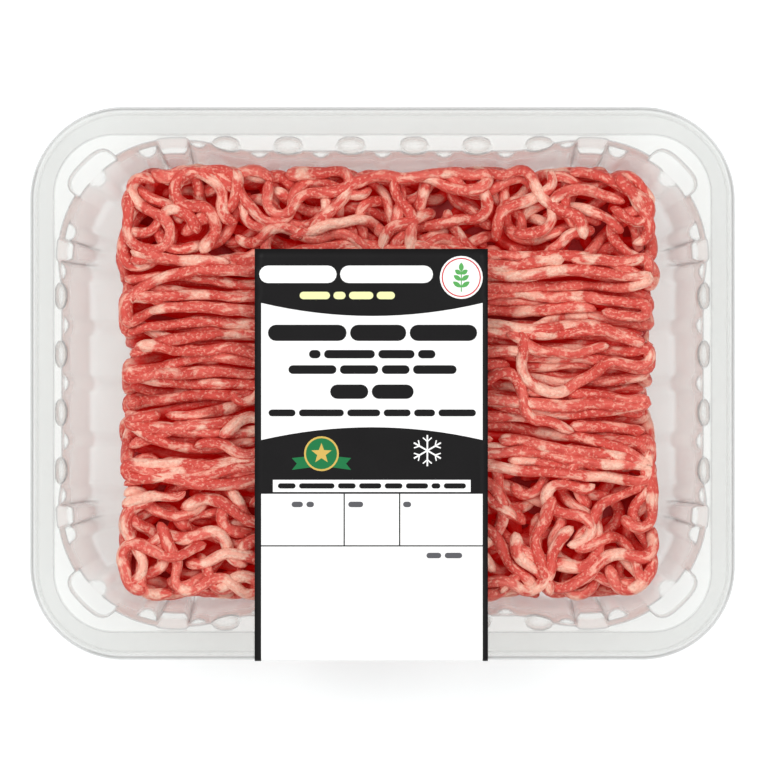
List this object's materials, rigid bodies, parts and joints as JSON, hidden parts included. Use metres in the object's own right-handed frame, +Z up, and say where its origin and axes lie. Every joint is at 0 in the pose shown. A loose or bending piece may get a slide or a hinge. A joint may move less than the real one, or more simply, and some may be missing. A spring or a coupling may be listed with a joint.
{
  "type": "minced meat tray pack",
  "caption": "Clear ribbed plastic tray of raw minced meat in fine strands, sealed with clear lidding film, with a plain printed label stuck along the film and over the front rim.",
  "frame": {"origin": "middle of the pack's footprint, on the surface that the tray's base stands on", "axes": "+Z up, X along the long side, -Y towards the front edge that the label is turned over"},
  "size_m": [0.227, 0.1782, 0.0407],
  "materials": {
    "tray_plastic": "clear thermoformed sheet, slightly milky, glossy",
    "raw_mince": "moist raw meat, pink-red lean with cream fat in patches along the strands",
    "lid_film": "thin clear film, glossy",
    "label_print": "printed label, black and white fields, semi-gloss"
  },
  "bodies": {
    "root": {"tray": "tray_plastic", "mince": "raw_mince", "film": "lid_film", "label": "label_print"}
  },
  "joints": []
}
